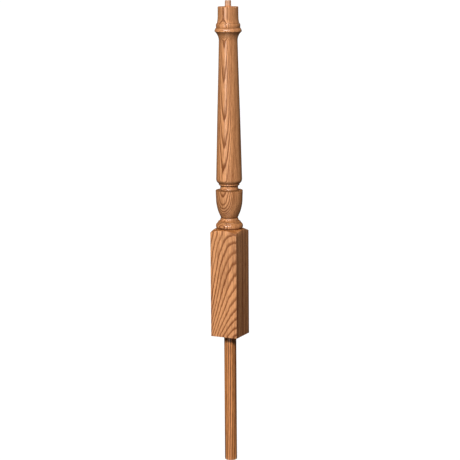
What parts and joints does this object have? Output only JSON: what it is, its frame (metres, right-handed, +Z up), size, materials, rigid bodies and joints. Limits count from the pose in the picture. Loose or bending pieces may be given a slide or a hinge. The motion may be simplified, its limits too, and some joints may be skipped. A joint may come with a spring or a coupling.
{
  "type": "volute newel post",
  "caption": "Turned oak newel post for a volute: square block, vase, long tapered shaft, ringed head with a top pin, and a long glued-in base dowel.",
  "frame": {"origin": "centre of the square block's underside, on the post's axis, where the post lands on the tread and the base dowel leaves the block", "axes": "+Z up the post's axis to the top pin; +X and +Y square to the block's faces, with the flat-sawn face that the picture shows on the left towards -Y and the shaded face towards +X"},
  "size_m": [0.0888, 0.0888, 1.4394],
  "materials": {
    "turned_oak": "stained red oak under a satin lacquer",
    "dowel_oak": "stained straight-grained oak under a satin lacquer"
  },
  "bodies": {
    "root": {"newel_post": "turned_oak", "base_dowel": "dowel_oak"}
  },
  "joints": []
}
